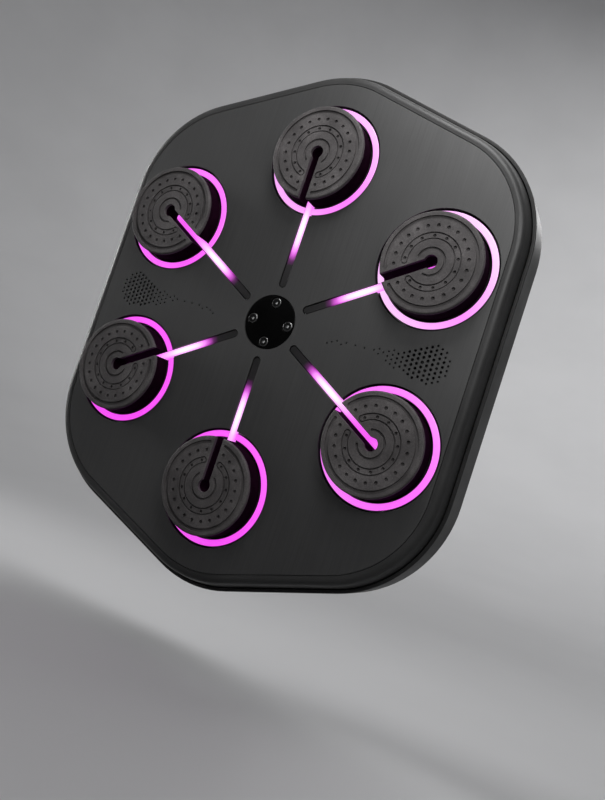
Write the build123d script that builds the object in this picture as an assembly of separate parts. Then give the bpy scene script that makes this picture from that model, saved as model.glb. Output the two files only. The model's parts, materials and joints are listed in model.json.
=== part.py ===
from build123d import *
import math
import os

# Wall-mounted music boxing machine: a flat rounded-hexagon body with six
# sprung round targets on a circle, each with a glowing ring and a light bar
# that points at the hub.
#
# Frame: origin on the wall face behind the hub, +X right, +Z up, and the
# front faces -Y. Everything below is drawn in a working frame whose x and y
# run right and up across the front and whose z is the height above the wall
# face; to_row() turns that into the row frame.

# ---------------------------------------------------------------- dimensions
TARGET_CIRCLE_R = 135.0   # circle that the six target centres lie on
HALF_WIDTH = 164.7        # seam outline of the face plate: half width
APEX = 204.7              # where the slanted edges would meet above the centre
SLOPE = 0.36              # fall of the slanted edges per unit of x
CORNER_R = 79.0           # radius of all six corners of the seam outline

PANEL_TOP = 40.0          # front surface of the face plate
FACE_T = 1.5              # face plate thickness
DECK_T = 3.0              # front frame deck under the face plate
SHELL_OFF = 12.8          # rear shell wall stands this far outside the seam
SHELL_TOP = 28.0
WALL_T = 2.5
RIM_OFF = 9.4             # foot of the front frame's bevel
RIM_FOOT = 28.5
RIM_TAPER = 15.0          # slope of the bevel, in degrees from upright
RIM_ROLL_R = 5.0          # smooth roll from the bevel into the front lip
SKIRT_FOOT = 23.5

WELL_R = 46.3             # opening in the face plate round each target
WELL_WALL = 2.0
SHELF_Z0, SHELF_Z1 = 28.0, 30.0
SHELF_HOLE_R = 38.6
RING_RI, RING_RO = 39.8, 44.8
RING_Z0, RING_TOP = 31.6, 38.8

PAD_R = 38.1
PAD_CORE_Z0, PAD_CORE_Z1 = 37.0, 52.0
PAD_TOP = 55.0
PAD_TRAVEL = 4.0
SPRING_R = 14.2
SPRING_WIRE_R = 0.8
KEY_SLOT_W = 7.0
KEY_HOLE_R = 5.2

BAR_W = 5.6
BAR_TIP_R = 29.0          # inner tip of a light bar, from the hub centre
BAR_Z0, BAR_TOP = 35.5, 39.3
BAR_SLOT_W = 6.7
BAR_TIP_GAP = 0.55

HUB_R = 21.6
HUB_SCREW_PCD = 32.0
WALL_SCREW_PCD = 80.0
WALL_HOLE_R = 2.75

TARGETS = {
    "top": 90.0,
    "upper_right": 30.0,
    "lower_right": -30.0,
    "bottom": -90.0,
    "lower_left": -150.0,
    "upper_left": 150.0,
}
CASE_SCREWS = [
    (0.0, 191.5), (134.0, 136.0), (153.0, 0.0), (134.0, -136.0),
    (0.0, -191.5), (-134.0, -136.0), (-153.0, 0.0), (-134.0, 136.0),
]

os.makedirs("parts", exist_ok=True)
NODES = {}


# ------------------------------------------------------------------- helpers
def cyl(r, z0, z1, x=0.0, y=0.0):
    return Pos(x, y, (z0 + z1) / 2) * Cylinder(r, z1 - z0)


def tube(ro, ri, z0, z1, x=0.0, y=0.0):
    return cyl(ro, z0, z1, x, y) - cyl(ri, z0 - 1, z1 + 1, x, y)


def block(x0, x1, y0, y1, z0, z1):
    return Pos((x0 + x1) / 2, (y0 + y1) / 2, (z0 + z1) / 2) * Box(x1 - x0, y1 - y0, z1 - z0)


def outline(off):
    """The body's rounded hexagon, off outside the face plate's seam."""
    hw = HALF_WIDTH + off
    top = APEX + off * math.sqrt(1 + SLOPE ** 2)
    side = top - SLOPE * hw
    sk = Polygon((0, top), (-hw, side), (-hw, -side), (0, -top), (hw, -side), (hw, side), align=None)
    return fillet(sk.vertices(), CORNER_R + off)


def plate(off, z0, z1, taper=0.0):
    return Pos(0, 0, z0) * extrude(outline(off), amount=z1 - z0, taper=taper)


def spoke(angle, shape):
    return Rot(0, 0, angle) * shape


def bar_blank(width, r0, r1, z0, z1):
    """A straight bar along +x with round ends at r0 and r1."""
    length = r1 - r0
    sk = SlotOverall(length, width)
    return Pos((r0 + r1) / 2, 0, z0) * extrude(sk, amount=z1 - z0)


def edges_at(shape, z, tol=0.01):
    return [e for e in shape.edges() if abs(e.bounding_box().min.Z - z) < tol and abs(e.bounding_box().max.Z - z) < tol]


def group(shapes):
    return Compound(children=[s for s in shapes])


def to_row(shape):
    return Rot(90, 0, 0) * shape


def keep(node, shape):
    NODES[node] = shape


def arc_band(ri, ro, a0, a1, z0, z1, rounded=True):
    """Part of a ring about the origin from angle a0 to a1 in degrees, with round ends."""
    rm, half = (ri + ro) / 2, (ro - ri) / 2
    def p(r, a):
        return (r * math.cos(math.radians(a)), r * math.sin(math.radians(a)))
    am = (a0 + a1) / 2
    e1 = ThreePointArc(p(ro, a0), p(ro, am), p(ro, a1))
    e2 = Line(p(ro, a1), p(ri, a1))
    e3 = ThreePointArc(p(ri, a1), p(ri, am), p(ri, a0))
    e4 = Line(p(ri, a0), p(ro, a0))
    band = Pos(0, 0, z0) * extrude(make_face(Wire([e1, e2, e3, e4])), amount=z1 - z0)
    if rounded:
        for a in (a0, a1):
            x, y = p(rm, a)
            band = band + cyl(half, z0, z1, x, y)
    return band


# ---------------------------------------------------------------- rear shell
def make_rear_shell():
    s = plate(SHELL_OFF, 0, SHELL_TOP)
    s = fillet(edges_at(s, 0.0), 2.5)
    s = fillet(edges_at(s, SHELL_TOP), 1.0)
    s = s - plate(SHELL_OFF - WALL_T, WALL_T, SHELL_TOP + 1)
    # raised floor over the wall plate's recess
    s = s + cyl(58.5, 1.0, 5.7)
    s = s - cyl(56.0, -1, 3.2)
    for a in (0, 90, 180, 270):
        s = s - spoke(a, cyl(5.6, 2, 7, HUB_SCREW_PCD / 2, 0))
        s = s - spoke(a + 45, cyl(7.0, 2, 7, WALL_SCREW_PCD / 2, 0))
    # case screw bosses, counterbored from the back
    for x, y in CASE_SCREWS:
        s = s + cyl(5.5, 1.0, 12.0, x, y)
        s = s - cyl(3.6, -1, 8.0, x, y) - cyl(1.8, 7, 13, x, y)
    # spring seats and recesses for the wall cushions
    for a in TARGETS.values():
        s = s + spoke(a, tube(18.2, 16.2, 2.0, 6.0, TARGET_CIRCLE_R, 0))
        s = s - spoke(a, cyl(12.0, -1, 1.2, TARGET_CIRCLE_R, 0))
    # posts for the main board, ribs for the battery and for the side board
    for x in (40.0, 76.0):
        for y in (-26.0, 26.0):
            s = s + cyl(3.0, 4.5 if x < 50 else 2.0, 16.0, x, y) - cyl(1.05, 8.0, 17.0, x, y)
    s = s + block(-79, -76.5, -26, 26, 2.0, 5.7)
    for y in (-28.0, 28.0):
        s = s + block(-169.0, -164.0, y - 3, y + 3, 2.0, 20.0)
        s = s - Pos(-166.5, y, 12.0) * Rot(0, 90, 0) * Cylinder(1.05, 6.0)
    # controls through the left wall
    s = s - Pos(-176.2, 22.0, 12.0) * Rot(0, 90, 0) * Cylinder(4.35, 6.0)
    for y in (9.5, -2.5):
        s = s - Pos(-176.2, y, 12.0) * Rot(0, 90, 0) * extrude(SlotOverall(9.7, 5.7, rotation=90), amount=3.0, both=True)
    s = s - Pos(-176.2, -11.0, 12.0) * Rot(0, 90, 0) * Cylinder(1.65, 6.0)
    s = s - Pos(-176.2, -21.0, 12.0) * Rot(0, 90, 0) * extrude(SlotOverall(9.5, 3.9, rotation=90), amount=3.0, both=True)
    return s


keep("rear_shell", make_rear_shell())


# --------------------------------------------------------------- front frame
def make_front_frame():
    top = plate(RIM_OFF, RIM_FOOT, PANEL_TOP, taper=RIM_TAPER)
    top = fillet(edges_at(top, PANEL_TOP), RIM_ROLL_R)
    s = plate(RIM_OFF, SKIRT_FOOT, RIM_FOOT) + top
    deck_z = PANEL_TOP - FACE_T - DECK_T
    s = s - plate(RIM_OFF - 2.4, SKIRT_FOOT - 1, 30.0)
    s = s - plate(RIM_OFF - 2.4, 30.0, deck_z, taper=20.0)
    s = s - plate(0.25, PANEL_TOP - FACE_T, PANEL_TOP + 1)
    for a in TARGETS.values():
        s = s + spoke(a, cyl(WELL_R + WELL_WALL, SHELF_Z0, deck_z + 1, TARGET_CIRCLE_R, 0))
    for a in TARGETS.values():
        s = s - spoke(a, cyl(WELL_R, SHELF_Z1, PANEL_TOP + 1, TARGET_CIRCLE_R, 0))
        s = s - spoke(a, cyl(SHELF_HOLE_R, SHELF_Z0 - 1, PANEL_TOP, TARGET_CIRCLE_R, 0))
        s = s - spoke(a, bar_blank(BAR_SLOT_W, BAR_TIP_R - BAR_TIP_GAP, TARGET_CIRCLE_R - 30, BAR_Z0, PANEL_TOP + 1))
    # hub seat and the four posts that the hub screws pull down on the wall plate
    s = s + cyl(24.0, 33.0, deck_z + 1)
    s = s - cyl(22.0, 36.5, PANEL_TOP + 1)
    for a in (0, 90, 180, 270):
        s = s + spoke(a, cyl(5.0, 11.3, 34.0, HUB_SCREW_PCD / 2, 0))
        s = s - spoke(a, cyl(2.2, 10, 38, HUB_SCREW_PCD / 2, 0))
    # loudspeaker windows
    for side in (1, -1):
        s = s - Pos(side * 123.5, -0.5, deck_z - 1) * extrude(SlotOverall(49.0, 31.0), amount=6.0)
        for x, y in ((122.0 - 18.6, -15.0), (122.0 - 18.6, 15.0)):
            s = s + cyl(2.4, 31.0, deck_z + 1, side * x, y) - cyl(1.05, 30.0, deck_z, side * x, y)
    for x, y in CASE_SCREWS:
        s = s + cyl(4.5, 12.0, deck_z + 0.5, x, y)
        s = s - cyl(1.5, 11.0, 30.0, x, y)
    return s


keep("front_frame", make_front_frame())

# ---------------------------------------------------------------- face plate
# Grille rows: first hole, number of holes; each next hole is one step towards
# the hub and down. The left grille mirrors the right one.
GRILLE_STEP = (-3.82, -1.79)
GRILLE_ROWS = [
    ((136.6, 13.5), 10), ((140.4, 11.8), 11), ((144.2, 10.1), 11), ((144.2, 6.5), 10),
    ((148.0, 4.7), 9), ((148.0, 1.1), 8), ((148.0, -2.5), 7), ((148.0, -6.0), 5),
    ((144.2, -11.3), 3),
]
GRILLE_TAIL = [
    (106.0, 2.6), (102.3, 0.9), (98.4, -0.8), (94.8, -2.7), (94.8, 1.0), (90.9, -0.8),
    (83.2, -1.1), (75.7, -0.9), (68.1, -1.0), (64.3, -3.0), (60.3, -1.2), (56.4, -2.8), (52.9, -4.6),
]


def grille_holes():
    holes = []
    for (x0, y0), n in GRILLE_ROWS:
        for i in range(n):
            x, y = x0 + i * GRILLE_STEP[0], y0 + i * GRILLE_STEP[1]
            d = math.hypot(x - 130.0, (y + 1.0) * 1.15)
            holes.append((x, y, 1.15 if d < 10 else 1.05 if d < 16 else 0.85 if d < 22 else 0.7))
    for x, y in GRILLE_TAIL:
        if min(math.hypot(x - h[0], y - h[1]) for h in holes) > 2.0:
            holes.append((x, y, 0.65))
    return holes


def make_face_plate():
    sk = outline(-0.25)
    for a in TARGETS.values():
        r = math.radians(a)
        sk = sk - Pos(TARGET_CIRCLE_R * math.cos(r), TARGET_CIRCLE_R * math.sin(r)) * Circle(WELL_R)
        l = TARGET_CIRCLE_R - 30 - (BAR_TIP_R - BAR_TIP_GAP)
        m = (TARGET_CIRCLE_R - 30 + BAR_TIP_R - BAR_TIP_GAP) / 2
        sk = sk - Rot(0, 0, a) * Pos(m, 0) * SlotOverall(l, BAR_SLOT_W)
    sk = sk - Circle(22.0)
    dots = []
    for x, y, r in grille_holes():
        dots += [Pos(x, y) * Circle(r), Pos(-x, y) * Circle(r)]
    sk = sk - dots
    return Pos(0, 0, PANEL_TOP - FACE_T) * extrude(sk, amount=FACE_T)


keep("face_plate", make_face_plate())

# ----------------------------------------------------------- hub and fixings
hub = cyl(HUB_R, 36.5, 39.7)
hub = fillet(edges_at(hub, 39.7), 0.6)
for a in (0, 90, 180, 270):
    hub = hub - spoke(a, cyl(2.2, 36, 41, HUB_SCREW_PCD / 2, 0))
    hub = hub - spoke(a, cyl(4.3, 37.6, 41, HUB_SCREW_PCD / 2, 0))
hub = chamfer([e for e in edges_at(hub, 39.7) if e.radius < 5], 0.25)
keep("hub_cap", hub)


def cap_screw(r_head, z_seat, h_head, r_shank, z_tip, r_hex, hex_depth, round_r):
    """A screw with its head on top, its socket opening upwards."""
    head = cyl(r_head, z_seat, z_seat + h_head)
    head = fillet(edges_at(head, z_seat + h_head), round_r)
    s = head + cyl(r_shank, z_tip, z_seat + 0.2)
    sock = Pos(0, 0, z_seat + h_head - hex_depth) * extrude(RegularPolygon(r_hex, 6), amount=hex_depth + 1)
    return s - sock


hub_screw = cap_screw(3.9, 37.6, 2.2, 1.95, 2.2, 1.45, 1.3, 0.7)
keep("hub_screws", group([Pos(HUB_SCREW_PCD / 2 * math.cos(math.radians(a)), HUB_SCREW_PCD / 2 * math.sin(math.radians(a)), 0) * hub_screw for a in (0, 90, 180, 270)]))

wp = cyl(55.0, 0, 3.0)
for a in (0, 90, 180, 270):
    wp = wp + spoke(a, cyl(5.0, 2.0, 11.0, HUB_SCREW_PCD / 2, 0))
    wp = wp - spoke(a, cyl(2.05, 1.2, 12.0, HUB_SCREW_PCD / 2, 0))
    wp = wp - spoke(a + 45, cyl(WALL_HOLE_R, -1, 4.0, WALL_SCREW_PCD / 2, 0))
keep("wall_plate", wp)

case_screw = cyl(2.9, 5.5, 8.0) + cyl(1.4, 7.5, 26.0)
case_screw = case_screw - Pos(0, 0, 5.0) * extrude(RegularPolygon(1.3, 6), amount=1.8)
keep("case_screws", group([Pos(x, y, 0) * case_screw for x, y in CASE_SCREWS]))

cushion = cyl(11.5, 0, 1.2)
keep("wall_cushions", group([spoke(a, Pos(TARGET_CIRCLE_R, 0, 0) * cushion) for a in TARGETS.values()]))

# ------------------------------------------------------------------- targets
# One station is drawn about its own centre with the hub towards -x.
def key_cut(z0, z1, w=KEY_SLOT_W, r=KEY_HOLE_R):
    return cyl(r, z0, z1) + block(-PAD_R - 6, 0, -w / 2, w / 2, z0, z1)


def make_pad_core():
    s = cyl(PAD_R, PAD_CORE_Z0, PAD_CORE_Z1)
    s = fillet(edges_at(s, PAD_CORE_Z0), 1.0)
    return s - key_cut(PAD_CORE_Z0 - 1, PAD_CORE_Z1 + 1)


def make_pad_face():
    s = cyl(PAD_R, PAD_CORE_Z1, PAD_TOP)
    s = fillet(edges_at(s, PAD_TOP), 1.3)
    s = s - key_cut(PAD_CORE_Z1 - 1, PAD_TOP + 1)
    t = PAD_TOP + 1
    # rim groove
    s = s - arc_band(32.1, 34.6, -168.0, 168.0, PAD_TOP - 1.2, t)
    # outline of the C channel, with a slightly sunk land inside it
    s = s - arc_band(16.8, 22.2, -158.0, 158.0, PAD_TOP - 0.3, t)
    channel = arc_band(16.8, 22.2, -158.0, 158.0, PAD_TOP - 1.2, t) - arc_band(17.8, 21.2, -158.0, 158.0, PAD_TOP - 2, t + 1)
    s = s - channel
    # inner C groove
    s = s - arc_band(9.4, 11.1, -135.0, 135.0, PAD_TOP - 1.1, t)
    dots = []
    for i in range(1, 22):
        a = math.radians(180.0 + i * 360.0 / 22)
        dots.append(cyl(1.35, PAD_TOP - 1.3, t, 27.2 * math.cos(a), 27.2 * math.sin(a)))
    for i in range(1, 13):
        a = math.radians(180.0 + i * 360.0 / 13)
        dots.append(cyl(1.2, PAD_TOP - 1.6, t, 19.5 * math.cos(a), 19.5 * math.sin(a)))
    return s - dots


def make_pad_carrier():
    s = cyl(37.5, 23.7, PAD_CORE_Z0) + cyl(42.0, 23.7, 27.7)
    s = s - cyl(35.0, 20.0, 31.5)
    s = s + cyl(6.0, 16.3, 32.0)
    s = s + tube(18.2, 16.2, 28.0, 32.0)
    # groove under the light bar
    s = s - cyl(KEY_HOLE_R, 33.5, PAD_CORE_Z0 + 1) - block(-PAD_R - 6, 0, -3.7, 3.7, 33.5, PAD_CORE_Z0 + 1)
    return s


def make_spring():
    """A coil of facetted wire on short straight runs, its end turns closed."""
    z0, z1 = WALL_T + 0.95, 31.5 - 0.4 - 0.85
    turns, per, closed = 5.5, 14, 0.75
    n = int(turns * per)
    flat = (SPRING_WIRE_R * 0.6) / (z1 - z0)
    pts = []
    for i in range(n + 1):
        t = i / per
        if t < closed:
            f = flat * t / closed
        elif t > turns - closed:
            f = 1.0 - flat * (turns - t) / closed
        else:
            f = flat + (1.0 - 2 * flat) * (t - closed) / (turns - 2 * closed)
        q = 2 * math.pi * t
        pts.append((SPRING_R * math.cos(q), SPRING_R * math.sin(q), z0 + (z1 - z0) * f))
    path = Polyline(*pts)
    sect = Plane(origin=path @ 0, z_dir=path % 0) * RegularPolygon(SPRING_WIRE_R, 6)
    return sweep(sect, path=path, transition=Transition.RIGHT)


def make_light_ring():
    s = tube(RING_RO, RING_RI, RING_Z0, RING_TOP)
    s = fillet(edges_at(s, RING_TOP), 0.8)
    return s - block(-RING_RO - 1, -RING_RI + 3, -3.4, 3.4, BAR_Z0 - 0.3, RING_TOP + 1)


pad_core, pad_face, pad_carrier = make_pad_core(), make_pad_face(), make_pad_carrier()
spring, light_ring = make_spring(), make_light_ring()
light_bar = bar_blank(BAR_W, BAR_TIP_R, TARGET_CIRCLE_R + BAR_W / 2, BAR_Z0, BAR_TOP)
light_bar = fillet(edges_at(light_bar, BAR_TOP), 0.5)
for name, a in TARGETS.items():
    at = Rot(0, 0, a) * Pos(TARGET_CIRCLE_R, 0, 0)
    keep("pad_face_" + name, at * pad_face)
    keep("pad_core_" + name, at * pad_core)
    keep("pad_carrier_" + name, at * pad_carrier)
    keep("pad_spring_" + name, at * spring)
    keep("light_ring_" + name, at * light_ring)
    keep("light_bar_" + name, Rot(0, 0, a) * light_bar)

keep("ring_led_boards", group([spoke(a, tube(45.6, 39.4, SHELF_Z1, RING_Z0, TARGET_CIRCLE_R, 0)) for a in TARGETS.values()]))
keep("bar_led_boards", group([spoke(a, bar_blank(9.0, 27.5, 85.0, BAR_Z0 - 1.5, BAR_Z0)) for a in TARGETS.values()]))

sensor = cyl(10.0, WALL_T, 5.0)
dome = fillet(edges_at(cyl(6.5, 4.5, 12.0), 12.0), 2.0)
sensor = sensor + dome
keep("impact_sensors", group([spoke(a, Pos(TARGET_CIRCLE_R, 0, 0) * sensor) for a in TARGETS.values()]))


# ----------------------------------------------------------------- speakers
def make_speaker():
    frame_ring = tube(17.8, 15.6, 33.5, 35.5)
    basket = Pos(0, 0, 26.0) * Cone(10.0, 16.2, 8.0, align=(Align.CENTER, Align.CENTER, Align.MIN))
    basket = basket - Pos(0, 0, 27.0) * Cone(8.2, 15.6, 8.0, align=(Align.CENTER, Align.CENTER, Align.MIN))
    magnet = fillet(edges_at(cyl(9.0, 20.0, 26.5), 20.0), 0.8)
    dust_cap = cyl(5.0, 26.5, 29.5)
    dust_cap = fillet(edges_at(dust_cap, 29.5), 2.0)
    return frame_ring + basket + magnet + dust_cap


speaker = make_speaker()
keep("speaker_right", Pos(122.0, 0, 0) * speaker)
keep("speaker_left", Pos(-122.0, 0, 0) * speaker)

# -------------------------------------------------------------- electronics
board = block(36, 80, -30, 30, 16.0, 17.6)
for x in (40.0, 76.0):
    for y in (-26.0, 26.0):
        board = board - cyl(1.3, 15, 19, x, y)
board = board + block(51, 63, -6, 6, 17.5, 19.0) + block(66, 74, 10, 18, 17.5, 18.6) + block(42, 47, -20, -8, 17.5, 22.5) + block(42, 47, -2, 12, 17.5, 22.5)
board = board + cyl(3.2, 17.5, 24.0, 70, -14) + cyl(3.2, 17.5, 24.0, 62, -19) + block(50, 58, 20, 28, 17.5, 20.5)
keep("main_board", board)

battery = block(-80, -38, -28, 28, 5.7, 20.0)
battery = fillet(battery.edges(), 1.5)
keep("battery_pack", battery)

board_x0, board_x1 = -170.6, -169.0
side = block(board_x0, board_x1, -31.0, 31.0, 5.0, 20.0)
for y in (-28.0, 28.0):
    side = side - Pos(-169.8, y, 12.0) * Rot(0, 90, 0) * Cylinder(1.3, 4.0)
for y in (22.0, 9.5, -2.5):
    side = side + block(-171.2, -170.5, y - 3, y + 3, 9.0, 15.0) + Pos(-171.3, y, 12.0) * Rot(0, 90, 0) * Cylinder(1.7, 0.7)
keep("side_board", side)

usb = Pos(-177.2, -21.0, 12.0) * Rot(0, 90, 0) * extrude(SlotOverall(8.94, 3.26, rotation=90), amount=6.6)
usb = usb - Pos(-178.0, -21.0, 12.0) * Rot(0, 90, 0) * extrude(SlotOverall(8.24, 2.56, rotation=90), amount=6.9)
usb = usb + block(-176.3, -170.8, -21 - 3.2, -21 + 3.2, 11.65, 12.35)
keep("usb_port", usb)


def side_button(y, cap, flange):
    s = Pos(-178.2, y, 12.0) * Rot(0, 90, 0) * extrude(cap, amount=4.0)
    s = fillet([e for e in s.edges() if e.bounding_box().max.X < -178.1], 0.4)
    s = s + Pos(-174.5, y, 12.0) * Rot(0, 90, 0) * extrude(flange, amount=1.1)
    s = s + Pos(-173.6, y, 12.0) * Rot(0, 90, 0) * extrude(Circle(1.5), amount=0.7)
    return s


power = side_button(22.0, Circle(4.0), Circle(5.1))
power = power - Pos(-178.5, 22.0, 12.0) * Rot(0, 90, 0) * extrude(Circle(2.0) - Circle(1.5), amount=0.6)
keep("power_button", power)
slot_cap, slot_flange = SlotOverall(9.0, 5.0, rotation=90), SlotOverall(11.0, 7.0, rotation=90)
vol_up = side_button(9.5, slot_cap, slot_flange)
vol_up = vol_up - block(-178.5, -177.9, 9.5 - 1.6, 9.5 + 1.6, 11.7, 12.3) - block(-178.5, -177.9, 9.5 - 0.3, 9.5 + 0.3, 10.4, 13.6)
keep("volume_up_button", vol_up)
vol_down = side_button(-2.5, slot_cap, slot_flange)
vol_down = vol_down - block(-178.5, -177.9, -2.5 - 1.6, -2.5 + 1.6, 11.7, 12.3)
keep("volume_down_button", vol_down)

lens = Pos(-177.6, -11.0, 12.0) * Rot(0, 90, 0) * extrude(Circle(1.5), amount=7.0)
keep("status_lens", lens)


def board_screw(z_seat, z_tip):
    s = cyl(2.1, z_seat, z_seat + 1.5) + cyl(0.95, z_tip, z_seat + 0.2)
    return s - Pos(0, 0, z_seat + 0.7) * extrude(RegularPolygon(0.9, 6), amount=2)


bs = [Pos(x, y, 0) * board_screw(17.6, 9.0) for x in (40.0, 76.0) for y in (-26.0, 26.0)]
bs += [Pos(-170.6, y, 12.0) * Rot(0, -90, 0) * board_screw(0.0, -6.0) for y in (-28.0, 28.0)]
keep("board_screws", group(bs))

for node, shape in NODES.items():
    export_step(to_row(shape), "parts/" + node + ".step")
print("nodes", len(NODES))
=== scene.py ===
import json
import math

import bmesh
import bpy
from mathutils import Matrix, Vector


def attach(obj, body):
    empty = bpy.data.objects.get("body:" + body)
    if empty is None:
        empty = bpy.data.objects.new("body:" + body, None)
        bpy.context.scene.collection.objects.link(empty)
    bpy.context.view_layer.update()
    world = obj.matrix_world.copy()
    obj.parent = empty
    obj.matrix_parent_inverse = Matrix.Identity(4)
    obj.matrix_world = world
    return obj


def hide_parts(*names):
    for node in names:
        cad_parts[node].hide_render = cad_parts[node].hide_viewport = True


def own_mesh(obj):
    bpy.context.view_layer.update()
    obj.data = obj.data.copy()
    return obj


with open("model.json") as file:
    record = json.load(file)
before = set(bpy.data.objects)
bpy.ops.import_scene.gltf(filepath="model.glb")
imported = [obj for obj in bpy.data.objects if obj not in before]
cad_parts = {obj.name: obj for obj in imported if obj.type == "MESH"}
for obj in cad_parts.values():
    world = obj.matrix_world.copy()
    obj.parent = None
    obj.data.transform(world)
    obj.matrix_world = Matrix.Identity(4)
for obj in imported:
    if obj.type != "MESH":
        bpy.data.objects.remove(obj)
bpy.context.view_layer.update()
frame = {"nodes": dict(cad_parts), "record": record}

NODES = frame["nodes"]
TARGETS = ["top", "upper_right", "lower_right", "bottom", "lower_left", "upper_left"]
ANGLE = {"top": 90, "upper_right": 30, "lower_right": -30, "bottom": -90, "lower_left": -150, "upper_left": 150}
scene = bpy.context.scene
col = scene.collection

# ------------------------------------------------------------------ camera
cam_data = bpy.data.cameras.new("camera")
cam_data.sensor_width = 36.0
cam_data.lens = 36.37
cam_data.clip_start = 0.01
cam_data.clip_end = 50.0
cam = bpy.data.objects.new("camera", cam_data)
col.objects.link(cam)
right = Vector((0.85679, 0.40719, 0.31639))
up = Vector((-0.25966, -0.18941, 0.94694))
back = Vector((0.44551, -0.89349, -0.05656))
m = Matrix((right, up, back)).transposed().to_4x4()
m.translation = Vector((0.31801, -0.58034, -0.08510))
cam.matrix_world = m
scene.camera = cam
scene.view_settings.view_transform = "Standard"
scene.view_settings.look = "None"


# --------------------------------------------------------------- materials
class M:
    """A small builder for node materials whose coordinates are the row frame's, in metres."""

    def __init__(self, name):
        self.mat = bpy.data.materials.new(name)
        self.mat.use_nodes = True
        self.nt = self.mat.node_tree
        self.nt.nodes.clear()
        self.out = self.n("ShaderNodeOutputMaterial")
        self.bsdf = self.n("ShaderNodeBsdfPrincipled")
        self.link(self.bsdf.outputs[0], self.out.inputs[0])
        self.coord = self.n("ShaderNodeTexCoord").outputs["Object"]

    def n(self, kind, **props):
        node = self.nt.nodes.new(kind)
        for k, v in props.items():
            setattr(node, k, v)
        return node

    def link(self, a, b):
        self.nt.links.new(a, b)

    def scaled(self, s):
        node = self.n("ShaderNodeMapping")
        node.inputs["Scale"].default_value = s
        self.link(self.coord, node.inputs["Vector"])
        return node.outputs[0]

    def noise(self, scale, detail=3.0, rough=0.5, vec=None):
        node = self.n("ShaderNodeTexNoise")
        node.inputs["Scale"].default_value = scale
        node.inputs["Detail"].default_value = detail
        node.inputs["Roughness"].default_value = rough
        self.link(vec if vec is not None else self.coord, node.inputs["Vector"])
        return node.outputs["Fac"]

    def voronoi(self, scale, feature="F1", vec=None):
        node = self.n("ShaderNodeTexVoronoi", feature=feature)
        node.inputs["Scale"].default_value = scale
        self.link(vec if vec is not None else self.coord, node.inputs["Vector"])
        return node.outputs["Distance"]

    def remap(self, value, a0, a1, b0, b1):
        node = self.n("ShaderNodeMapRange")
        for k, v in zip(("From Min", "From Max", "To Min", "To Max"), (a0, a1, b0, b1)):
            node.inputs[k].default_value = v
        self.link(value, node.inputs["Value"])
        return node.outputs["Result"]

    def math(self, op, a, b=None):
        node = self.n("ShaderNodeMath", operation=op)
        for i, v in enumerate((a, b)):
            if v is None:
                continue
            if isinstance(v, (int, float)):
                node.inputs[i].default_value = v
            else:
                self.link(v, node.inputs[i])
        return node.outputs[0]

    def ramp(self, value, stops, interpolation="LINEAR"):
        node = self.n("ShaderNodeValToRGB")
        cr = node.color_ramp
        cr.interpolation = interpolation
        while len(cr.elements) < len(stops):
            cr.elements.new(0.5)
        for e, (p, c) in zip(cr.elements, stops):
            e.position = p
            e.color = tuple(c) + (1.0,)
        self.link(value, node.inputs[0])
        return node.outputs[0]

    def bump(self, value, distance, strength=1.0, after=None):
        node = self.n("ShaderNodeBump")
        node.inputs["Strength"].default_value = strength
        node.inputs["Distance"].default_value = distance
        self.link(value, node.inputs["Height"])
        if after is not None:
            self.link(after, node.inputs["Normal"])
        return node.outputs[0]

    def set(self, name, value):
        sock = self.bsdf.inputs[name]
        if hasattr(value, "is_output"):
            self.link(value, sock)
        else:
            sock.default_value = value
        return self


def grey(v, tint=(1.0, 1.0, 1.0)):
    return (v * tint[0], v * tint[1], v * tint[2])


def plastic(name, base, rough, grain=1400.0, grain_depth=0.00004, tint=(1, 1, 1), spread=0.25, spec=0.5, cloud=18.0, ior=1.5):
    """Moulded plastic: clouded tone, fine spark-eroded grain, rubbed patches."""
    b = M(name)
    tone = b.noise(cloud, 4.0, 0.6)
    speck = b.noise(grain * 0.8, 2.0, 0.6)
    mix = b.math("ADD", b.math("MULTIPLY", tone, 0.7), b.math("MULTIPLY", speck, 0.3))
    b.set("Base Color", b.ramp(mix, [(0.3, grey(base * (1 - spread), tint)), (0.7, grey(base * (1 + spread), tint))]))
    b.set("Roughness", b.remap(tone, 0.3, 0.7, rough - 0.06, rough + 0.08))
    b.set("Specular IOR Level", spec)
    b.set("IOR", ior)
    g = b.bump(b.noise(grain, 3.0, 0.55), grain_depth, 1.0)
    g = b.bump(b.voronoi(grain * 0.55), grain_depth * 0.7, 0.6, after=g)
    b.set("Normal", g)
    return b.mat


def metal(name, base, rough, along="z", tint=(1, 1, 1), scratch=0.00001):
    """Brushed or turned metal with streaks along one row axis."""
    b = M(name)
    s = {"x": (40, 2600, 2600), "y": (2600, 40, 2600), "z": (2600, 2600, 40)}[along]
    streak = b.noise(1.0, 3.0, 0.6, b.scaled(s))
    patch = b.noise(60.0, 4.0, 0.6)
    b.set("Base Color", b.ramp(streak, [(0.25, grey(base * 0.75, tint)), (0.75, grey(base * 1.15, tint))]))
    b.set("Metallic", 1.0)
    b.set("Roughness", b.remap(patch, 0.3, 0.7, rough - 0.07, rough + 0.1))
    b.set("Normal", b.bump(streak, scratch, 0.7))
    return b.mat


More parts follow.
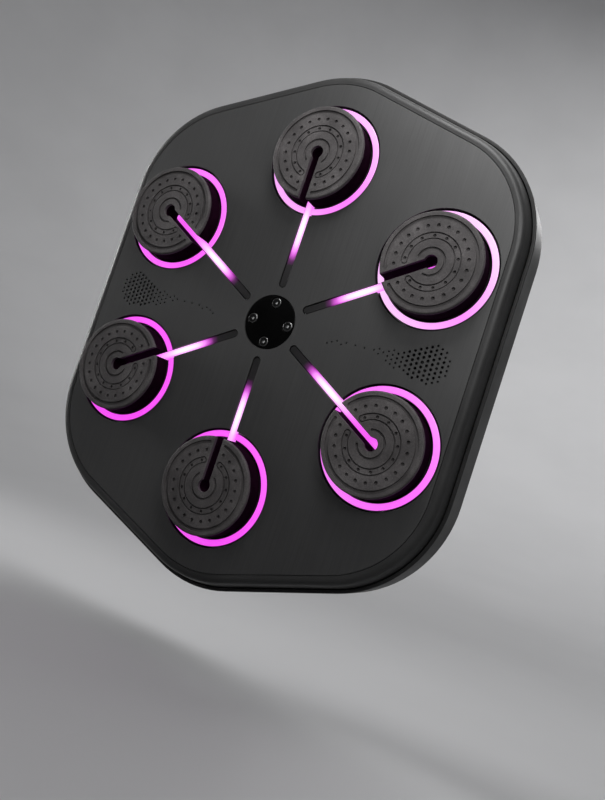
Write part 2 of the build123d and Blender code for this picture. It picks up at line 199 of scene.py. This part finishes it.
# face plate: dark satin sheet with faint vertical brushing and a soft mottle
b = M("face_sheet")
streak = b.noise(1.0, 3.0, 0.55, b.scaled((900, 900, 9)))
fine = b.noise(1.0, 2.0, 0.6, b.scaled((5200, 5200, 60)))
mottle = b.noise(9.0, 4.0, 0.6)
tone = b.math("ADD", b.math("MULTIPLY", streak, 0.45), b.math("ADD", b.math("MULTIPLY", mottle, 0.35), b.math("MULTIPLY", fine, 0.2)))
b.set("Base Color", b.ramp(tone, [(0.36, grey(0.047)), (0.64, grey(0.062))]))
b.set("Metallic", 0.85)
b.set("Roughness", b.remap(tone, 0.3, 0.7, 0.47, 0.56))
b.set("Specular IOR Level", 0.40)
b.set("Normal", b.bump(fine, 0.000006, 0.6, after=b.bump(b.noise(2400.0, 2.0, 0.5), 0.000012, 0.5)))
FACE = b.mat

FRAME = plastic("frame_plastic", 0.016, 0.46, grain=1900.0, grain_depth=0.000012, spec=0.5, ior=1.3)
SHELL = plastic("shell_plastic", 0.014, 0.42, grain=1100.0, grain_depth=0.00004, spec=0.5, ior=1.2)

# hub: polished black with faint swirl marks and a faint mottle
b = M("hub_gloss")
swirl = b.noise(1.0, 2.0, 0.5, b.scaled((700, 700, 2400)))
b.set("Base Color", b.ramp(b.noise(30.0), [(0.3, grey(0.0006)), (0.7, grey(0.0012))]))
b.set("Roughness", b.remap(swirl, 0.3, 0.7, 0.12, 0.22))
b.set("Specular IOR Level", 0.04)
b.set("Normal", b.bump(swirl, 0.000002, 0.5))
HUB = b.mat

# hub screws: black oxide with worn patches, a painted glint of bright metal in each socket and a painted highlight ring
# at each head's rim
b = M("black_screw")
wear = b.noise(900.0, 3.0, 0.6)
axes = b.n("ShaderNodeSeparateXYZ")
b.link(b.coord, axes.inputs[0])
ax, az = b.math("ABSOLUTE", axes.outputs["X"]), b.math("ABSOLUTE", axes.outputs["Z"])
big, small = b.math("MAXIMUM", ax, az), b.math("MINIMUM", ax, az)
dx = b.math("SUBTRACT", big, 0.016)
away = b.math("SQRT", b.math("ADD", b.math("MULTIPLY", dx, dx), b.math("MULTIPLY", small, small)))
# painted glint: a bright metal disc within about 1 mm of each screw's axis
painted_socket_glint = b.remap(away, 0.0010, 0.0013, 1.0, 0.0)
# painted highlight: a lighter ring at the head's rim, 3.1 to 3.4 mm from the axis
painted_rim_highlight = b.math("MULTIPLY", b.remap(away, 0.0031, 0.0034, 0.0, 1.0), 0.16)
wear_and_painted_glints = b.math("ADD", b.math("ADD", b.math("MULTIPLY", b.remap(wear, 0.3, 0.7, 0.0, 1.0), 0.05), painted_socket_glint), painted_rim_highlight)
b.set("Base Color", b.ramp(wear_and_painted_glints, [(0.0, grey(0.008)), (0.05, grey(0.020)), (0.2, grey(0.12)), (1.0, grey(0.95))]))
b.set("Metallic", 1.0)
b.set("Roughness", b.remap(b.noise(400.0), 0.3, 0.7, 0.24, 0.36))
b.set("Normal", b.bump(b.noise(3000.0, 2.0), 0.00001, 0.5))
SCREW = b.mat

# target face: warm dark rubber with a leathery grain, chalky specks and a rubbed top
b = M("pad_rubber")
grain = b.noise(1300.0, 4.0, 0.7)
cells = b.voronoi(800.0)
rub = b.noise(38.0, 4.0, 0.65)
chalk = b.noise(2900.0, 3.0, 0.75)
tone = b.math("ADD", b.math("MULTIPLY", grain, 0.3), b.math("ADD", b.math("MULTIPLY", rub, 0.35), b.math("MULTIPLY", chalk, 0.35)))
b.set("Base Color", b.ramp(tone, [(0.36, grey(0.013, (1.06, 0.98, 1.0))), (0.5, grey(0.034, (1.06, 0.975, 0.985))), (0.64, grey(0.080, (1.05, 0.98, 0.985)))]))
b.set("Roughness", b.remap(rub, 0.3, 0.7, 0.60, 0.76))
b.set("Specular IOR Level", 0.18)
b.set("Normal", b.bump(cells, 0.00008, 0.6, after=b.bump(chalk, 0.00010, 0.9)))
PAD = b.mat

# target core: black foam skin with pores, tinted magenta throughout as a painted cast of the ring light's glow
b = M("pad_foam")
pores = b.voronoi(1300.0)
b.set("Base Color", b.ramp(b.noise(160.0, 4.0), [(0.3, (0.0030, 0.0006, 0.0020)), (0.7, (0.0060, 0.0012, 0.0042))]))
b.set("Roughness", b.remap(pores, 0.0, 0.6, 0.9, 0.7))
b.set("Specular IOR Level", 0.08)
b.set("IOR", 1.12)
b.set("Normal", b.bump(pores, 0.00008, 0.7))
FOAM = b.mat


def radial(b):
    """Distance from the hub's axis, in metres."""
    node = b.n("ShaderNodeVectorMath", operation="MULTIPLY")
    node.inputs[1].default_value = (1.0, 0.0, 1.0)
    b.link(b.coord, node.inputs[0])
    length = b.n("ShaderNodeVectorMath", operation="LENGTH")
    b.link(node.outputs[0], length.inputs[0])
    return length.outputs["Value"]


def height(b):
    """Height above the wall face, in metres."""
    node = b.n("ShaderNodeSeparateXYZ")
    b.link(b.coord, node.inputs[0])
    return b.math("MULTIPLY", node.outputs["Y"], -1.0)


# ring light: opal diffuser in a black-painted channel, hottest where the light bar crosses it
b = M("ring_light")
axes = b.n("ShaderNodeSeparateXYZ")
b.link(b.coord, axes.inputs[0])
turn = b.math("SUBTRACT", b.math("ARCTAN2", axes.outputs["Z"], axes.outputs["X"]), 0.523599)
aim = b.math("ADD", b.math("MULTIPLY", b.math("ROUND", b.math("MULTIPLY", turn, 0.954930)), 1.047198), 0.523599)
station = b.math("MULTIPLY", b.math("ADD", b.math("COSINE", aim), b.math("SINE", aim)), 0.135)
off = b.math("SUBTRACT", b.math("ADD", axes.outputs["X"], axes.outputs["Z"]), station)
across = b.math("MULTIPLY", b.math("ABSOLUTE", off), 16.0)
side = b.math("ADD", b.remap(station, -0.26, 0.26, 0.0, 1.0), b.math("MULTIPLY", b.math("SUBTRACT", across, 0.4), 0.22))
flow = b.math("ADD", side, b.math("MULTIPLY", b.math("SUBTRACT", b.noise(260.0, 2.0), 0.5), 0.05))
open_top = b.remap(height(b), 0.0381, 0.0385, 0.0, 1.0)
body = b.ramp(b.noise(500.0), [(0.3, (0.12, 0.05, 0.12)), (0.7, (0.17, 0.07, 0.17))])
skin = b.n("ShaderNodeMix", data_type="RGBA")
skin.inputs[6].default_value = (0.004, 0.003, 0.004, 1.0)
b.link(open_top, skin.inputs[0])
b.link(body, skin.inputs[7])
b.set("Base Color", skin.outputs[2])
b.set("Roughness", b.remap(b.noise(900.0), 0.3, 0.7, 0.32, 0.46))
glow = b.ramp(flow, [(0.0, (0.88, 0.050, 0.86)), (0.25, (0.90, 0.070, 0.88)), (0.5, (0.93, 0.12, 0.92)), (0.67, (0.94, 0.17, 0.94)), (0.76, (0.95, 0.24, 0.95)), (0.88, (0.97, 0.40, 0.97)), (0.98, (0.98, 0.58, 0.98))])
lit = b.n("ShaderNodeMix", data_type="RGBA")
lit.inputs[6].default_value = (0.0, 0.0, 0.0, 1.0)
b.link(open_top, lit.inputs[0])
b.link(glow, lit.inputs[7])
b.set("Emission Color", lit.outputs[2])
b.set("Emission Strength", 1.0)
b.set("Normal", b.bump(b.noise(1600.0, 2.0), 0.00001, 0.4))
RING = b.mat

# light bar: smoked guide, dark by the hub, hot across the ring, magenta in the target
b = M("bar_light")
r = b.remap(radial(b), 0.028, 0.140, 0.0, 1.0)
flow = b.math("ADD", r, b.math("MULTIPLY", b.math("SUBTRACT", b.noise(420.0, 2.0), 0.5), 0.012))
b.set("Base Color", b.ramp(flow, [(0.0, grey(0.006)), (0.20, grey(0.007)), (0.36, (0.22, 0.08, 0.22)), (1.0, (0.30, 0.10, 0.30))]))
b.set("Roughness", b.remap(b.noise(300.0), 0.3, 0.7, 0.30, 0.40))
b.set("Specular IOR Level", 0.25)
axes = b.n("ShaderNodeSeparateXYZ")
b.link(b.coord, axes.inputs[0])
px, pz = axes.outputs["X"], axes.outputs["Z"]
half_x, tall_z = b.math("MULTIPLY", px, 0.5), b.math("MULTIPLY", pz, 0.866025)
off_axis = b.math("MINIMUM", b.math("ABSOLUTE", px), b.math("MINIMUM", b.math("ABSOLUTE", b.math("SUBTRACT", tall_z, half_x)), b.math("ABSOLUTE", b.math("ADD", tall_z, half_x))))
core = b.ramp(flow, [
    (0.0, (0.0, 0.0, 0.0)), (0.17, (0.002, 0.001, 0.002)), (0.21, (0.10, 0.008, 0.10)), (0.25, (0.60, 0.07, 0.60)),
    (0.29, (0.92, 0.30, 0.93)), (0.34, (1.0, 0.72, 1.0)), (0.44, (1.0, 0.92, 1.0)), (0.52, (1.0, 0.80, 1.0)), (0.58, (0.98, 0.48, 0.98)),
    (0.66, (0.96, 0.28, 0.96)), (0.74, (0.93, 0.14, 0.92)), (0.88, (0.90, 0.10, 0.88)), (1.0, (0.95, 0.20, 0.94))])
edge = b.ramp(flow, [
    (0.0, (0.0, 0.0, 0.0)), (0.17, (0.002, 0.001, 0.002)), (0.21, (0.05, 0.003, 0.05)), (0.25, (0.36, 0.02, 0.36)),
    (0.29, (0.75, 0.10, 0.76)), (0.34, (0.90, 0.28, 0.92)), (0.44, (0.95, 0.45, 0.97)), (0.58, (0.90, 0.24, 0.92)),
    (0.70, (0.84, 0.10, 0.84)), (1.0, (0.84, 0.10, 0.84))])
glow = b.n("ShaderNodeMix", data_type="RGBA")
b.link(b.remap(off_axis, 0.0010, 0.0027, 0.0, 1.0), glow.inputs[0])
b.link(core, glow.inputs[6])
b.link(edge, glow.inputs[7])
b.set("Emission Color", glow.outputs[2])
b.set("Emission Strength", 1.05)
b.set("Normal", b.bump(b.noise(300.0, 2.0), 0.000004, 0.3))
BAR = b.mat

CARRIER = plastic("carrier_plastic", 0.012, 0.5, grain=1600.0)
WALL_STEEL = metal("wall_steel", 0.42, 0.36, "z")
CASE_SCREW = metal("case_screw_steel", 0.30, 0.34, "y")
SPRING_STEEL = metal("spring_steel", 0.5, 0.25, "x")
PORT_METAL = metal("port_metal", 0.55, 0.3, "z")
LED_BOARD = plastic("led_board", 0.55, 0.45, grain=2200.0, spread=0.08)
SPEAKER = plastic("speaker_black", 0.010, 0.7, grain=2600.0, grain_depth=0.00008)
BUTTON = plastic("button_plastic", 0.016, 0.42, grain=1800.0)
SENSOR = plastic("sensor_rubber", 0.014, 0.72, grain=1500.0)
CUSHION = plastic("cushion_foam", 0.020, 0.85, grain=900.0, grain_depth=0.00015)
BATTERY = plastic("battery_wrap", 0.07, 0.35, grain=300.0, grain_depth=0.00003, tint=(0.5, 0.9, 2.2))
CIRCUIT = plastic("circuit_board", 0.05, 0.4, grain=900.0, tint=(0.35, 1.5, 0.7))
b = M("status_light")
b.set("Base Color", b.ramp(b.noise(900.0), [(0.3, (0.10, 0.30, 0.14)), (0.7, (0.16, 0.42, 0.20))]))
b.set("Roughness", b.remap(b.noise(700.0), 0.3, 0.7, 0.12, 0.22))
b.set("Emission Color", b.ramp(b.noise(300.0), [(0.3, (0.05, 0.6, 0.15)), (0.7, (0.08, 0.8, 0.2))]))
b.set("Emission Strength", 0.6)
STATUS = b.mat

BY_SLOT = {
    "shell_plastic": SHELL, "frame_plastic": FRAME, "face_sheet": FACE, "hub_gloss": HUB, "black_screw": SCREW,
    "wall_steel": WALL_STEEL, "case_screw_steel": CASE_SCREW, "cushion_foam": CUSHION, "pad_rubber": PAD,
    "pad_foam": FOAM, "carrier_plastic": CARRIER, "spring_steel": SPRING_STEEL, "ring_light": RING, "bar_light": BAR,
    "led_board": LED_BOARD, "sensor_rubber": SENSOR, "speaker_black": SPEAKER, "circuit_board": CIRCUIT,
    "battery_wrap": BATTERY, "port_metal": PORT_METAL, "button_plastic": BUTTON, "status_light": STATUS,
}
for sub in frame["record"]["subparts"]:
    o = NODES[sub["node"]]
    if not o.material_slots:
        o.data.materials.append(None)
    for s in o.material_slots:
        s.material = BY_SLOT[sub["material_slot"]]


# ---------------------------------------------------------- return springs
def make_spring(name, cx, cz, turns=5.5, r=0.0142, wire=0.0008, w0=0.0034, w1=0.0303, steps=36, sides=10):
    """A coil with closed, ground ends about the target's axis, drawn as a tube along its own line."""
    bm = bmesh.new()
    total = int(turns * steps)
    rings = []
    closed = 0.75
    for i in range(total + 1):
        t = i / steps
        # the first and last three quarters of a turn lie nearly flat
        if t < closed:
            f = 0.06 * t / closed
        elif t > turns - closed:
            f = 1.0 - 0.06 * (turns - t) / closed
        else:
            f = 0.06 + 0.88 * (t - closed) / (turns - 2 * closed)
        w = w0 + (w1 - w0) * f
        a = 2 * math.pi * t
        centre = Vector((cx + r * math.cos(a), -w, cz + r * math.sin(a)))
        radial_dir = Vector((math.cos(a), 0, math.sin(a)))
        ring = []
        for k in range(sides):
            q = 2 * math.pi * k / sides
            ring.append(bm.verts.new(centre + wire * (math.cos(q) * radial_dir + math.sin(q) * Vector((0, 1, 0)))))
        rings.append(ring)
    for a_ring, b_ring in zip(rings, rings[1:]):
        for k in range(sides):
            bm.faces.new((a_ring[k], a_ring[(k + 1) % sides], b_ring[(k + 1) % sides], b_ring[k]))
    bm.faces.new(list(reversed(rings[0])))
    bm.faces.new(rings[-1])
    bmesh.ops.recalc_face_normals(bm, faces=bm.faces)
    mesh = bpy.data.meshes.new(name)
    bm.to_mesh(mesh)
    bm.free()
    for p in mesh.polygons:
        p.use_smooth = True
    o = bpy.data.objects.new(name, mesh)
    col.objects.link(o)
    o.data.materials.append(SPRING_STEEL)
    return o


for t in TARGETS:
    a = math.radians(ANGLE[t])
    spring = make_spring("coil_" + t, 0.135 * math.cos(a), 0.135 * math.sin(a))
    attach(spring, "root")
    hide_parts("pad_spring_" + t)
    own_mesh(spring)

# ------------------------------------------------------------------- stage
def bowl():
    """A pale floor that runs up into a round backdrop with no corner."""
    prof = [(0.0, -0.26), (0.3, -0.26), (0.6, -0.26), (0.9, -0.26)]
    for i in range(1, 31):
        q = math.radians(90.0 * i / 30)
        prof.append((0.9 + 3.0 * math.sin(q), -0.26 + 3.0 * (1 - math.cos(q))))
    prof.append((3.9, 3.6))
    n = 96
    bm = bmesh.new()
    rows = []
    for rr, z in prof:
        if rr == 0:
            rows.append([bm.verts.new((0, 0, z))])
        else:
            rows.append([bm.verts.new((rr * math.cos(2 * math.pi * k / n), rr * math.sin(2 * math.pi * k / n), z)) for k in range(n)])
    for k in range(n):
        bm.faces.new((rows[0][0], rows[1][k], rows[1][(k + 1) % n]))
    for ra, rb in zip(rows[1:], rows[2:]):
        for k in range(n):
            bm.faces.new((ra[k], rb[k], rb[(k + 1) % n], ra[(k + 1) % n]))
    mesh = bpy.data.meshes.new("studio_floor")
    bm.to_mesh(mesh)
    bm.free()
    for p in mesh.polygons:
        p.use_smooth = True
    o = bpy.data.objects.new("studio_floor", mesh)
    col.objects.link(o)
    fl = M("studio_paper")
    fl.set("Base Color", fl.ramp(fl.noise(3.0, 4.0), [(0.3, (0.70, 0.70, 0.71)), (0.7, (0.74, 0.74, 0.75))]))
    fl.set("Roughness", 0.9)
    fl.set("Specular IOR Level", 0.1)
    o.data.materials.append(fl.mat)
    return o


bowl()

world = bpy.data.worlds.new("studio")
scene.world = world
world.use_nodes = True
world.node_tree.nodes["Background"].inputs[0].default_value = (0.95, 0.97, 1.0, 1.0)
world.node_tree.nodes["Background"].inputs[1].default_value = 0.05


def area(name, loc, target, size, power, size_y=None, color=(1, 1, 1), spread=180.0):
    data = bpy.data.lights.new(name, "AREA")
    data.energy = power
    data.color = color
    data.size = size
    data.spread = math.radians(spread)
    if size_y:
        data.shape = "RECTANGLE"
        data.size_y = size_y
    o = bpy.data.objects.new(name, data)
    col.objects.link(o)
    o.location = loc
    o.rotation_euler = (Vector(target) - Vector(loc)).to_track_quat("-Z", "Y").to_euler()
    o.visible_camera = False
    return o


linked = bpy.data.collections.new("object_light_links")
linked.objects.link(bpy.data.objects["studio_floor"])
linked.collection_objects[0].light_linking.link_state = "EXCLUDE"
area("key", (0.07, -0.24, 0.44), (0.05, 0.0, 0.05), 0.20, 3.05).light_linking.receiver_collection = linked
area("key_right", (0.30, -0.40, 0.24), (0.08, 0.0, 0.03), 0.20, 1.95).light_linking.receiver_collection = linked
area("soft_left", (-0.75, -1.2, 0.55), (0.05, 0.0, 0.03), 0.5, 1.20).light_linking.receiver_collection = linked
area("edge_left", (-1.2, -0.10, 0.24), (0.0, -0.03, 0.02), 0.25, 1.2, size_y=0.6, spread=50.0)
area("rim_right", (0.26, 1.1, 0.68), (0.12, 0.0, 0.08), 0.22, 0.14, spread=60.0)
area("floor_wash", (0.2, 1.5, 2.7), (0.1, 1.6, -0.26), 2.6, 40.0)
area("back_wash", (0.0, 1.2, 1.7), (-0.3, 3.9, 1.3), 1.4, 10.0)
